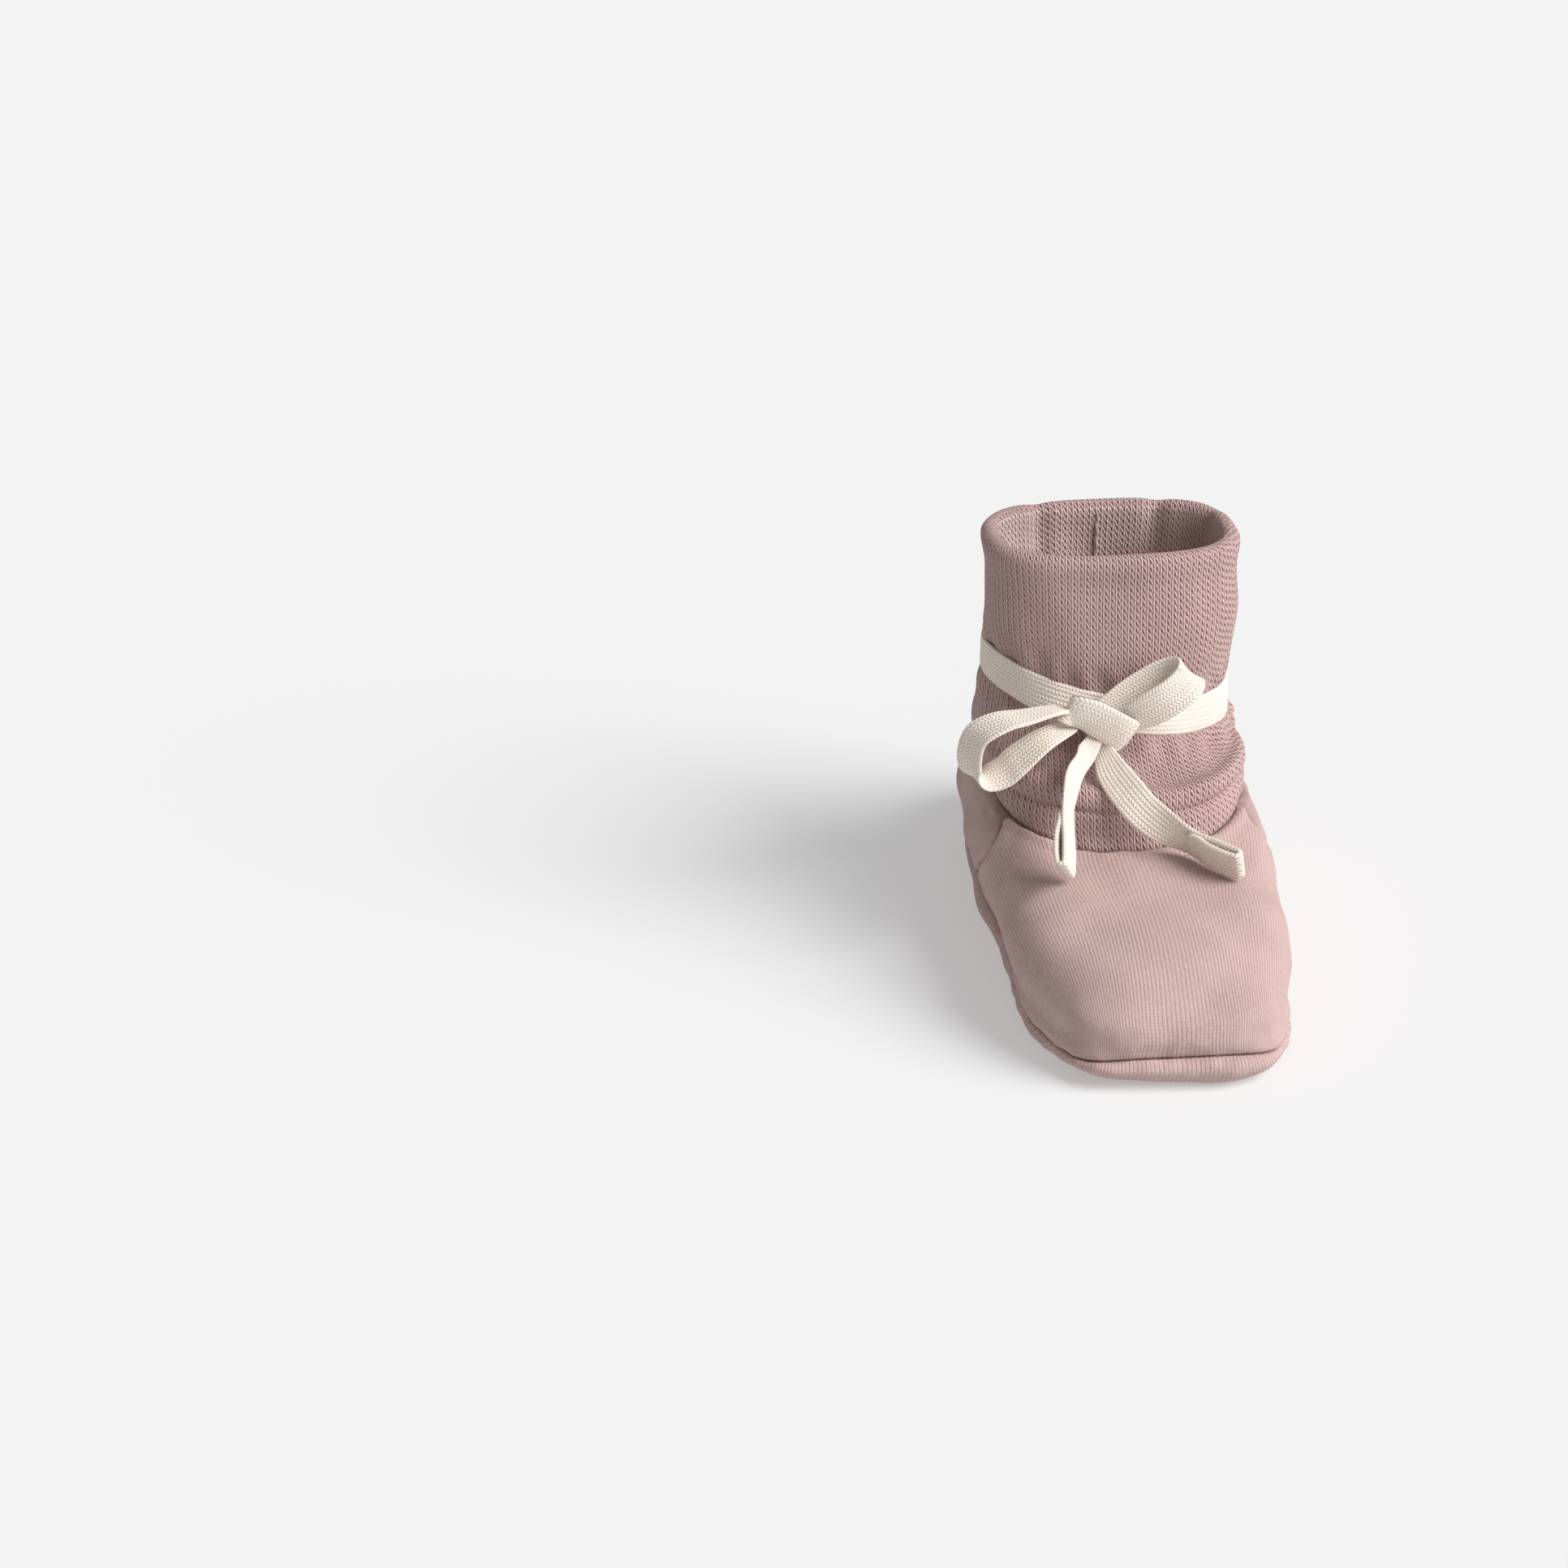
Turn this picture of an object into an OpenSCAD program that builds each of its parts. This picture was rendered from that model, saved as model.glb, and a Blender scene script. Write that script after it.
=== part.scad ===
// Soft knitted baby bootie with a tall cuff and a tape tied in a bow round the ankle.
// +Z is up and the toe points along -Y. The origin lies on the floor, under the middle of the sole.
// One smooth skin describes the whole outside: skin(t, u), where t climbs from the middle of the
// sole (0) to the rim of the cuff (13), and u runs once round the foot from the toe (0 degrees)
// over the +X side (90) to the heel (180). Every fabric piece is a stretch of that skin.

/* [Overall size] */
// Outside length from toe to heel, mm
foot_length = 110; // [99:1:121]
// Outside width of the upper, mm
foot_width = 48.4; // [44:0.4:53]
// Height from the floor to the rim of the cuff, mm
boot_height = 66; // [60:1:72]

/* [Fabric] */
// Thickness of the jersey outer panels, mm
panel_thick = 1.3; // [1:0.1:1.5]
// Thickness of the jersey lining, mm
lining_thick = 0.7; // [0.5:0.1:0.9]
// Thickness of the doubled rib cuff, mm
cuff_thick = 2.6; // [2:0.1:3]
// Thickness of the padded inner sole, mm
insole_thick = 1.6; // [1:0.1:2]
// Space between two layers of fabric, mm
layer_gap = 0.2; // [0.1:0.05:0.3]

/* [Seams] */
// Radius of the overlocked thread in each seam, mm
thread_r = 0.4; // [0.3:0.05:0.45]
// Distance from the middle of a seam to the edge of each panel, mm
seam_gap = 0.6; // [0.55:0.05:0.8]

/* [Tape] */
// Width of the cotton tape, mm
tape_width = 6; // [5:0.5:7]
// Thickness of the cotton tape, mm
tape_thick = 0.9; // [0.6:0.1:1.1]
// Thickness of the folded and stitched end of each tail, mm
hem_thick = 2.6; // [2:0.1:2.8]

/* [Smoothness] */
// Number of columns once round the foot
columns = 44; // [32:4:56]

/* [Hidden] */

jersey = [0.74, 0.62, 0.61];
rib = [0.68, 0.56, 0.56];
lining_colour = [0.80, 0.70, 0.69];
thread_colour = [0.58, 0.46, 0.47];
cream = [0.93, 0.89, 0.81];

// Stations up the skin. Each is a closed outline round the foot:
// front y, front z, back y, back z, half width, side z, y of the widest place,
// squareness of the front, squareness of the back, fall of z per mm towards +X.
STATIONS = [
    [-38.0,  0.0, 36.0,  0.0,  9.0,  0.0,  0.0, 2.6, 2.6,  0.00],
    [-48.0,  0.1, 46.0,  0.1, 17.0,  0.1,  6.0, 4.0, 2.4,  0.00],
    [-53.5,  0.8, 51.5,  1.0, 21.0,  1.0,  9.0, 4.4, 2.4,  0.00],
    [-56.0,  3.5, 54.0,  4.0, 22.5,  4.0,  9.0, 4.6, 2.4,  0.00],
    [-55.0,  6.5, 53.5,  8.0, 22.3,  8.0,  9.0, 4.4, 2.4,  0.00],
    [-54.5, 11.0, 54.5, 12.5, 23.6, 13.0,  9.0, 3.8, 2.4,  0.00],
    [-47.5, 17.0, 54.0, 17.0, 24.2, 17.0,  9.0, 3.2, 2.4,  0.00],
    [-34.0, 21.5, 50.0, 22.0, 23.6, 20.5,  9.5, 2.7, 2.3,  0.00],
    [-15.0, 22.5, 43.0, 27.0, 22.0, 24.5, 12.0, 2.4, 2.3,  0.00],
    [-12.0, 28.0, 40.0, 31.0, 22.4, 31.0, 15.0, 2.3, 2.3, -0.03],
    [ -3.0, 33.0, 37.0, 36.5, 21.4, 35.0, 17.0, 2.2, 2.2, -0.12],
    [  2.5, 39.0, 34.5, 42.5, 20.4, 40.8, 18.0, 2.2, 2.2, -0.19],
    [  3.5, 50.0, 33.5, 53.0, 21.2, 51.5, 18.5, 2.4, 2.4, -0.15],
    [  5.0, 66.0, 33.0, 66.0, 21.4, 66.0, 19.0, 2.7, 2.7,  0.00]];

t_sole_seam = 4;     // the sole is sewn to the upper here
t_cuff_seam = 8;     // the cuff is sewn to the upper here
t_tie = 11;          // the tape goes round the ankle here
t_bend_low = 11.42;  // the cuff starts to bend above the tape
t_bend_high = 12.0;  // the part of the cuff above this leans freely
t_rim = 13;          // folded edge of the cuff

// The table above is drawn for this size, in mm
drawn_size = [48.4, 110, 66];
fit = [foot_width / drawn_size.x, foot_length / drawn_size.y, boot_height / drawn_size.z];
// Middle of the drawn outline's length, moved onto the origin
y_middle = -0.7;

lining_depth = panel_thick + layer_gap;
edge_clear = 0.2;

// ---- Curves -------------------------------------------------------------------------------

function blend4(a, b, c, d, f) =
    0.5 * (2 * b + (c - a) * f + (2 * a - 5 * b + 4 * c - d) * f * f
           + (3 * b - a - 3 * c + d) * f * f * f);

// Smooth value between the rows of a table, at t rows from its start
function along(rows, t) =
    let (last = len(rows) - 1,
         i = min(max(floor(t), 0), last - 1),
         b = rows[i],
         c = rows[i + 1],
         a = i == 0 ? 2 * b - c : rows[i - 1],
         d = i == last - 1 ? 2 * c - b : rows[i + 2])
    blend4(a, b, c, d, t - i);

function scaled(p) = [p.x * fit.x, (p.y - y_middle) * fit.y, p.z * fit.z];

function unit(v) = v / norm(v);

function skin(t, u) =
    let (s = along(STATIONS, t),
         c = cos(u),
         e = c > 0 ? s[7] : s[8],
         k = pow(pow(abs(c), e) + pow(abs(sin(u)), e), -1 / e),
         x = s[4] * k * sin(u),
         y = s[6] + k * c * (c > 0 ? s[0] - s[6] : s[6] - s[2]),
         z = s[5] + c * c * ((c > 0 ? s[1] : s[3]) - s[5]) + s[9] * x)
    scaled([x, y, z]);

probe = 0.01;
function slope_t(t, u) =
    let (low = max(t - probe, 0), high = min(t + probe, t_rim))
    (skin(high, u) - skin(low, u)) / (high - low);
function slope_u(t, u) = skin(t, u + probe) - skin(t, u - probe);
function outward(t, u) = unit(cross(slope_u(t, u), slope_t(t, u)));

// A point below the skin by depth, or above it where depth is negative
function under(t, u, depth) = skin(t, u) - depth * outward(t, u);

// ---- Solids swept from loops of points ----------------------------------------------------

// Each loop goes up its outer side and down its inner side, one point opposite another.
// rows is n for walls all round the loop, or n - 1 to leave out the wall between its ends.
function side_faces(n, m, joins, rows) =
    [for (j = [0 : joins - 1], i = [0 : rows - 1])
        let (next = ((j + 1) % m) * n, up = (i + 1) % n)
        each [[j * n + i, j * n + up, next + up], [j * n + i, next + up, next + i]]];

function cap_faces(n, first) =
    [for (i = [0 : n / 2 - 2])
        each [[first + n - 1 - i, first + n - 2 - i, first + i + 1],
              [first + n - 1 - i, first + i + 1, first + i]]];

function turned(faces) = [for (f = faces) [f[2], f[1], f[0]]];

module sweep(loops) {
    n = len(loops[0]);
    m = len(loops);
    polyhedron([for (l = loops) each l],
               concat(side_faces(n, m, m - 1, n), cap_faces(n, 0),
                      turned(cap_faces(n, (m - 1) * n))));
}

module sweep_ring(loops) {
    n = len(loops[0]);
    m = len(loops);
    polyhedron([for (l = loops) each l], side_faces(n, m, m, n));
}

// A ring that is closed over its middle by two fans, like a tray
module sweep_tray(loops, low_middle, high_middle) {
    n = len(loops[0]);
    m = len(loops);
    fans = [for (j = [0 : m - 1])
                let (next = ((j + 1) % m) * n)
                each [[m * n, j * n, next], [j * n + n - 1, m * n + 1, next + n - 1]]];
    polyhedron(concat([for (l = loops) each l], [low_middle, high_middle]),
               concat(side_faces(n, m, m, n - 1), fans));
}

// Cross-section of a fabric wall at u: rows from t0 to t1, each end trimmed back in mm
// It may slant, from u at t0 to u_high at t1.
function wall(t0, t1, trim0, trim1, depth0, depth1, rows, u, u_high) =
    let (low = t0 + trim0 / norm(slope_t(t0, u)),
         high = t1 - trim1 / norm(slope_t(t1, u)),
         lean = is_undef(u_high) ? 0 : u_high - u,
         places = [for (i = [0 : rows]) [low + (high - low) * i / rows, u + lean * i / rows]])
    concat([for (i = [0 : rows]) under(places[i].x, places[i].y, depth0)],
           [for (i = [rows : -1 : 0]) under(places[i].x, places[i].y, depth1)]);

function round_u() = [for (j = [0 : columns - 1]) 360 * j / columns];

// A thread or cord of radius r along a path; side is any direction that the path never takes
function tube_loops(path, r, side, closed = false) =
    let (last = len(path) - 1, sides = 6)
    [for (j = [0 : last])
        let (ahead = path[closed ? (j + 1) % (last + 1) : min(j + 1, last)],
             behind = path[closed ? (j + last) % (last + 1) : max(j - 1, 0)],
             along_path = unit(ahead - behind),
             e1 = unit(cross(along_path, side)),
             e2 = cross(e1, along_path))
        [for (k = [0 : sides - 1])
            path[j] + r * (cos(360 * k / sides) * e1 + sin(360 * k / sides) * e2)]];

// A flat tape along a route. Each row of a route holds a point, the direction across the tape,
// and the tape's width there as a share of its full width.
steps_per_row = 3;
function tape_loops(route, thick) =
    let (places = [for (r = route) r[0]],
         widths = [for (r = route) r[1]],
         shares = [for (r = route) r[2]],
         count = (len(route) - 1) * steps_per_row)
    [for (j = [0 : count])
        let (s = j / steps_per_row,
             run = unit(along(places, min(s + 0.05, len(route) - 1)) - along(places, max(s - 0.05, 0))),
             raw = along(widths, s),
             across = unit(raw - run * (raw * run)) * along(shares, s) * tape_width / 2,
             face = cross(run, unit(across)) * thick / 2,
             p = along(places, s))
        [scaled(p) - across + face, scaled(p) + across + face,
         scaled(p) + across - face, scaled(p) - across - face]];

// ---- Routes of the bow, in the drawn size -------------------------------------------------

left_loop_route = [
    [[-12.0, -2.4, 42.4], [0.0, -1.0, 0.1], 0.5],
    [[-15.0, -3.7, 42.6], [0.1, -1.0, 0.1], 0.8],
    [[-19.5, -4.8, 42.0], [0.3, -1.0, 0.0], 1.0],
    [[-23.8, -5.0, 40.8], [0.4, -0.9, 0.0], 1.0],
    [[-26.6, -5.0, 37.6], [0.6, -0.8, 0.0], 1.0],
    [[-26.4, -5.0, 34.0], [0.6, -0.8, -0.2], 1.0],
    [[-23.8, -5.2, 32.1], [0.5, -0.8, -0.4], 1.0],
    [[-20.4, -5.4, 33.3], [0.4, -0.9, -0.6], 1.0],
    [[-16.0, -5.4, 36.8], [0.35, -0.9, -0.6], 0.8],
    [[-12.4, -4.6, 38.8], [0.2, -0.9, -0.4], 0.5]];

right_loop_route = [
    [[-0.4, -0.3, 44.0], [0.7, -0.2, -0.7], 0.6],
    [[ 2.8, -0.3, 45.4], [0.7, -0.2, -0.6], 0.9],
    [[ 6.4, -0.6, 47.2], [0.7, -0.2, -0.6], 1.0],
    [[ 9.0, -1.5, 48.2], [0.7, -0.2, -0.6], 1.0],
    [[10.1, -3.0, 48.2], [0.7, -0.2, -0.6], 1.0],
    [[ 9.2, -4.5, 47.0], [0.7, -0.2, -0.6], 1.0],
    [[ 6.8, -5.2, 45.3], [0.7, -0.2, -0.7], 1.0],
    [[ 4.0, -5.0, 43.5], [0.7, -0.2, -0.7], 0.9],
    [[ 2.0, -4.4, 42.2], [0.6, -0.2, -0.7], 0.6]];

left_tail_route = [
    [[ -6.4, -5.2, 36.4], [-0.8, -0.1, -0.2], 0.5],
    [[ -9.5, -9.2, 35.7], [-0.6, -0.6, 0.3], 0.8],
    [[-11.1, -13.4, 34.7], [-0.5, -0.7, 0.5], 1.0],
    [[-12.1, -17.0, 33.0], [-0.4, -0.7, 0.5], 1.0],
    [[-12.8, -19.9, 30.3], [-0.4, -0.7, 0.5], 1.0]];
left_hem_route = [
    [[-12.8, -19.9, 30.3], [-0.4, -0.7, 0.5], 1.0],
    [[-13.0, -21.0, 29.2], [-0.4, -0.7, 0.5], 1.0],
    [[-13.0, -27.0, 25.0], [-0.4, -0.7, 0.5], 0.9]];

right_tail_route = [
    [[-4.2, -4.9, 34.8], [0.9, -0.5, 0.3], 0.6],
    [[-3.4, -8.8, 33.8], [0.9, -0.3, 0.4], 0.9],
    [[-1.5, -12.9, 31.8], [0.8, -0.1, 0.5], 0.95],
    [[ 0.7, -15.8, 29.9], [0.8, 0.0, 0.6], 1.0],
    [[ 3.4, -18.0, 28.1], [0.6, -0.2, 0.8], 1.0],
    [[ 6.1, -19.4, 26.8], [0.3, -0.4, 0.8], 1.0],
    [[ 8.4, -20.8, 25.9], [0.1, -0.6, 0.8], 1.0]];
right_hem_route = [
    [[ 8.4, -20.8, 25.9], [0.1, -0.6, 0.8], 1.0],
    [[ 9.6, -22.0, 25.8], [0.1, -0.6, 0.8], 0.9],
    [[14.7, -27.4, 25.3], [0.1, -0.6, 0.8], 0.85]];

knot_corners = [[-9.4, -1.4, 42.0], [-5.0, -1.8, 42.4], [0.0, -2.6, 39.0], [-3.4, -3.0, 37.6]];
knot_r = 1.6;
knot_facets = 20;

// ---- Sole ---------------------------------------------------------------------------------

module sole_sheet(depth0, depth1, t_edge, trim) {
    rows = 6;
    sweep_tray([for (u = round_u()) wall(0, t_edge, 0, trim, depth0, depth1, rows, u)],
               [0, 0, depth0], [0, 0, depth1]);
}

// The embroidery is pulled flush into the fabric, so the sole has a shallow pocket for it
module sole_panel()
    color(jersey)
    difference() {
        sole_sheet(0, panel_thick, t_sole_seam, seam_gap);
        translate([0, motif_y, -motif_thick]) heart(motif_r + motif_clear, 2 * motif_thick);
    }

module insole()
    color(lining_colour)
    sole_sheet(lining_depth, lining_depth + insole_thick, 3.4, 0);

// Small heart embroidered on the middle of the sole
motif_r = 2.2;
motif_y = 4;
motif_thick = 0.45;
motif_clear = 0.06;
module heart(r, height)
    linear_extrude(height)
    rotate(45) {
        square(2 * r, center = true);
        for (p = [[r, 0], [0, r]]) translate(p) circle(r, $fn = 32);
    }

module sole_motif()
    color(cream)
    translate([0, motif_y, motif_clear])
    heart(motif_r, motif_thick - 2 * motif_clear);

// ---- Upper --------------------------------------------------------------------------------

// Each side seam slants forward, from one u where it meets the sole to another at the cuff
u_side = [90, 62];
// Degrees from the middle of a side seam to the edge of a panel, at the sole and at the cuff
side_trim = [1.4, 4.2];
upper_rows = 8;

// Half of the upper, from its seam edge at u_side + edge to the same edge on the other side
module upper_half(middle, edge, depth, thick) {
    low = abs(middle - u_side[0] - edge[0]);
    high = abs(middle - u_side[1] - edge[1]);
    sweep([for (share = [-1 : 2 / round(low / 180 * columns) : 1.001])
              wall(t_sole_seam, t_cuff_seam, seam_gap, seam_gap, depth, depth + thick,
                   upper_rows, middle + share * low, middle + share * high)]);
}

module vamp_half(depth, thick) upper_half(0, -side_trim, depth, thick);
module heel_half(depth, thick) upper_half(180, side_trim, depth, thick);

module vamp_panel() color(jersey) vamp_half(0, panel_thick);
module heel_panel() color(jersey) heel_half(0, panel_thick);
module vamp_lining() color(lining_colour) vamp_half(lining_depth, lining_thick);
module heel_lining() color(lining_colour) heel_half(lining_depth, lining_thick);

// ---- Seams --------------------------------------------------------------------------------

module ring_seam(t)
    color(thread_colour)
    sweep_ring(tube_loops([for (u = round_u()) under(t, u, panel_thick / 2)],
                          thread_r, [0, 0, 1], true));

module sole_seam() ring_seam(t_sole_seam);
module cuff_seam() ring_seam(t_cuff_seam);

module side_seam(side) {
    seam_steps = 8;
    low = t_sole_seam + 2 * seam_gap / norm(slope_t(t_sole_seam, u_side[0]));
    high = t_cuff_seam - 2 * seam_gap / norm(slope_t(t_cuff_seam, u_side[1]));
    color(thread_colour)
    sweep(tube_loops([for (i = [0 : seam_steps])
                         let (t = low + (high - low) * i / seam_steps,
                              share = (t - t_sole_seam) / (t_cuff_seam - t_sole_seam),
                              u = u_side[0] + (u_side[1] - u_side[0]) * share)
                         under(t, side * u, panel_thick / 2)],
                     thread_r, [1, 0, 0]));
}

module side_seam_left() side_seam(-1);
module side_seam_right() side_seam(1);

// ---- Cuff ---------------------------------------------------------------------------------

module cuff_ring(t0, t1, trim0, trim1, rows)
    color(rib)
    sweep_ring([for (u = round_u()) wall(t0, t1, trim0, trim1, 0, cuff_thick, rows, u)]);

module cuff_lower() cuff_ring(t_cuff_seam, t_bend_low, seam_gap, 0, 7);
module cuff_bend() cuff_ring(t_bend_low, t_bend_high, edge_clear, edge_clear, 2);

// The doubled rib turns over at the rim in a soft round edge
rim_round = 0.9;
rim_t = t_rim - 0.07;
module cuff_upper() {
    rows = 5;
    color(rib)
    sweep_ring([for (u = round_u())
        let (edge = [under(t_rim, u, rim_round), under(t_rim, u, cuff_thick - rim_round)])
        concat([for (i = [0 : rows])
                    under(t_bend_high + (rim_t - t_bend_high) * i / rows, u, 0)],
               edge,
               [for (i = [rows : -1 : 0])
                    under(t_bend_high + (rim_t - t_bend_high) * i / rows, u, cuff_thick)])]);
}

module cuff_back_seam() {
    seam_steps = 5;
    low = t_bend_high + 0.1;
    high = t_rim - 0.1;
    color(thread_colour)
    sweep(tube_loops([for (i = [0 : seam_steps])
                         under(low + (high - low) * i / seam_steps, 180,
                               cuff_thick + thread_r + 0.05)],
                     thread_r, [0, 1, 0]));
}

// ---- Tape ---------------------------------------------------------------------------------

band_lift = 0.25;    // space between the cuff and the tape
module tie_band() {
    half = tape_width / 2;
    color(cream)
    sweep_ring([for (u = round_u())
        wall(t_tie, t_tie, -half, -half, -band_lift - tape_thick, -band_lift, 2, u)]);
}

// Bartack that holds the tape to the cuff at the heel
tack_width = 3.6;
tack_thick = 0.5;
tack_lift = 0.6;
module tie_tack() {
    outer = under(t_tie, 180, -band_lift - tape_thick);
    color(thread_colour)
    translate(outer + [-tack_width / 2, tack_lift, -tape_width / 4])
    cube([tack_width, tack_thick, tape_width / 2]);
}

module tie_knot()
    color(cream)
    hull()
    for (p = knot_corners) translate(scaled(p)) sphere(knot_r, $fn = knot_facets);

module loop_left() color(cream) sweep(tape_loops(left_loop_route, tape_thick));
module loop_right() color(cream) sweep(tape_loops(right_loop_route, tape_thick));

module tail(tail_route, hem_route)
    color(cream) {
        sweep(tape_loops(tail_route, tape_thick));
        sweep(tape_loops(hem_route, hem_thick));
    }

module tail_left() tail(left_tail_route, left_hem_route);
module tail_right() tail(right_tail_route, right_hem_route);

// Row of stitches across the top of a folded tail end
stitch_r = 0.2;
module hem_stitch(route) {
    ring = tape_loops(route, hem_thick)[steps_per_row];
    lift = stitch_r + 0.05;
    out = unit(ring[0] - ring[3]) * lift;
    color(thread_colour)
    sweep(tube_loops([ring[0] + out, (ring[0] + ring[1]) / 2 + out, ring[1] + out],
                     stitch_r, out));
}

module hem_stitch_left() hem_stitch(left_hem_route);
module hem_stitch_right() hem_stitch(right_hem_route);

sole_panel();
insole();
vamp_panel();
vamp_lining();
heel_panel();
heel_lining();
sole_seam();
side_seam_left();
side_seam_right();
cuff_seam();
cuff_lower();
cuff_bend();
cuff_upper();
cuff_back_seam();
tie_band();
tie_tack();
tie_knot();
loop_left();
loop_right();
tail_left();
tail_right();
hem_stitch_left();
hem_stitch_right();
sole_motif();
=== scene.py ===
"""Looks of a soft knitted baby bootie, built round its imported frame.

The outside is one smooth skin, skin(t, u): t climbs from the middle of the sole (0) to the rim of
the cuff (13), and u runs once round the foot in degrees, from the toe (0) over +X (90) to the
heel (180). Sizes and places are in millimetres until build() turns them into metres.
"""
import math

import bpy
import numpy as np
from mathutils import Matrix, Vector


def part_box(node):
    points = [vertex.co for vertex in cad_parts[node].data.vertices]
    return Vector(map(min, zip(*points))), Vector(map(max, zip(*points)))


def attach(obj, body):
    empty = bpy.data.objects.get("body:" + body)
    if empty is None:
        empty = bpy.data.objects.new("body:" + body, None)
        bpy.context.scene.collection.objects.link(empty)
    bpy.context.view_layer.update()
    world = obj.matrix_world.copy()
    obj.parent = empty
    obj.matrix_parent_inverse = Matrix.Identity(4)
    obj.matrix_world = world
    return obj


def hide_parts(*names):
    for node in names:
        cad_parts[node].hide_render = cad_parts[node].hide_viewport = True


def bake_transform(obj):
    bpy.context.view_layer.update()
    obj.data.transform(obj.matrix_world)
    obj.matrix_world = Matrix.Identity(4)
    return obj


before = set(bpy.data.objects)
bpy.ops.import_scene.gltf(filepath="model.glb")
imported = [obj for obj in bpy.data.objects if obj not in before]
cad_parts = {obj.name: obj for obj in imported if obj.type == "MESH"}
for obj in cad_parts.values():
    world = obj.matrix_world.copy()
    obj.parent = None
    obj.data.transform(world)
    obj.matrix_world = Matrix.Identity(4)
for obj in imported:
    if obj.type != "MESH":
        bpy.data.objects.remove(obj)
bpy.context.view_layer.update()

MM = 0.001

# ---- The skin, as the frame's panels follow it ------------------------------------------------

# Front y, front z, back y, back z, half width, side z, y of the widest place,
# squareness of the front, squareness of the back, rise of z per mm towards +X
STATIONS = np.array([
    [-38.0, 0.0, 36.0, 0.0, 9.0, 0.0, 0.0, 2.6, 2.6, 0.00],
    [-48.0, 0.1, 46.0, 0.1, 17.0, 0.1, 6.0, 4.0, 2.4, 0.00],
    [-53.5, 0.8, 51.5, 1.0, 21.0, 1.0, 9.0, 4.4, 2.4, 0.00],
    [-56.0, 3.5, 54.0, 4.0, 22.5, 4.0, 9.0, 4.6, 2.4, 0.00],
    [-55.0, 6.5, 53.5, 8.0, 22.3, 8.0, 9.0, 4.4, 2.4, 0.00],
    [-54.5, 11.0, 54.5, 12.5, 23.6, 13.0, 9.0, 3.8, 2.4, 0.00],
    [-47.5, 17.0, 54.0, 17.0, 24.2, 17.0, 9.0, 3.2, 2.4, 0.00],
    [-34.0, 21.5, 50.0, 22.0, 23.6, 20.5, 9.5, 2.7, 2.3, 0.00],
    [-15.0, 22.5, 43.0, 27.0, 22.0, 24.5, 12.0, 2.4, 2.3, 0.00],
    [-12.0, 28.0, 40.0, 31.0, 22.4, 31.0, 15.0, 2.3, 2.3, -0.03],
    [-3.0, 33.0, 37.0, 36.5, 21.4, 35.0, 17.0, 2.2, 2.2, -0.12],
    [2.5, 39.0, 34.5, 42.5, 20.4, 40.8, 18.0, 2.2, 2.2, -0.19],
    [3.5, 50.0, 33.5, 53.0, 21.2, 51.5, 18.5, 2.4, 2.4, -0.15],
    [5.0, 66.0, 33.0, 66.0, 21.4, 66.0, 19.0, 2.7, 2.7, 0.00]])
T_SOLE, T_CUFF, T_TIE, T_RIM = 4, 8, 11, 13

# The table is drawn for an object of this size; the frame says what size it has
DRAWN_BOX = np.array([48.4, 110.56, 66.08])
DRAWN_MIDDLE = np.array([0, -0.7, 0])
foot_low, foot_high = np.array(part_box("sole_panel")[0]), np.array(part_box("cuff_upper")[1])
foot_low[0], foot_high[0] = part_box("vamp_panel")[0][0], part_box("vamp_panel")[1][0]
foot_high[1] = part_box("heel_panel")[1][1]
FIT = (foot_high - foot_low) / MM / DRAWN_BOX

PANEL, LINING, INSOLE, CUFF, GAP = 1.3, 0.7, 1.6, 2.6, 0.2
TAPE_W, TAPE = 6.0, 0.8


def scaled(p):
    """Places of the drawn table, brought to the frame's size."""
    return (np.asarray(p, float) - DRAWN_MIDDLE) * FIT


def smooth(low, high, x):
    f = np.clip((x - low) / (high - low), 0, 1)
    return f * f * (3 - 2 * f)


def bump(x, width):
    return np.exp(-((x / width) ** 2))


def unit(v):
    return v / np.linalg.norm(v, axis=-1, keepdims=True)


def along(rows, t):
    """Smooth values between the rows of a table, at t rows from its start."""
    padded = np.vstack([2 * rows[0] - rows[1], rows, 2 * rows[-1] - rows[-2]])
    i = np.clip(np.floor(t).astype(int), 0, len(rows) - 2)
    f = (t - i)[..., None]
    a, b, c, d = (padded[i + k] for k in range(4))
    return 0.5 * (2 * b + (c - a) * f + (2 * a - 5 * b + 4 * c - d) * f**2
                  + (3 * b - a - 3 * c + d) * f**3)


def skin(t, u):
    """Places on the smooth outside of the foot and cuff."""
    row = along(STATIONS, t)
    cosine, sine = np.cos(np.radians(u)), np.sin(np.radians(u))
    front = cosine > 0
    squareness = np.where(front, row[..., 7], row[..., 8])
    reach = (np.abs(cosine) ** squareness + np.abs(sine) ** squareness) ** (-1 / squareness)
    x = row[..., 4] * reach * sine
    half_length = np.where(front, row[..., 0] - row[..., 6], row[..., 6] - row[..., 2])
    y = row[..., 6] + reach * cosine * half_length
    end_z = np.where(front, row[..., 1], row[..., 3])
    z = row[..., 5] + cosine * cosine * (end_z - row[..., 5]) + row[..., 9] * x
    return scaled(np.stack([x, y, z], -1))


def skin_frame(t, u):
    """Place, outward direction, and mm per step of t and per degree of u."""
    probe = 0.01
    low, high = np.maximum(t - probe, 0), np.minimum(t + probe, T_RIM)
    rise = (skin(high, u) - skin(low, u)) / (high - low)[..., None]
    turn = (skin(t, u + probe) - skin(t, u - probe)) / (2 * probe)
    return (skin(t, u), unit(np.cross(turn, rise)),
            np.linalg.norm(rise, axis=-1), np.linalg.norm(turn, axis=-1))


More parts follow.
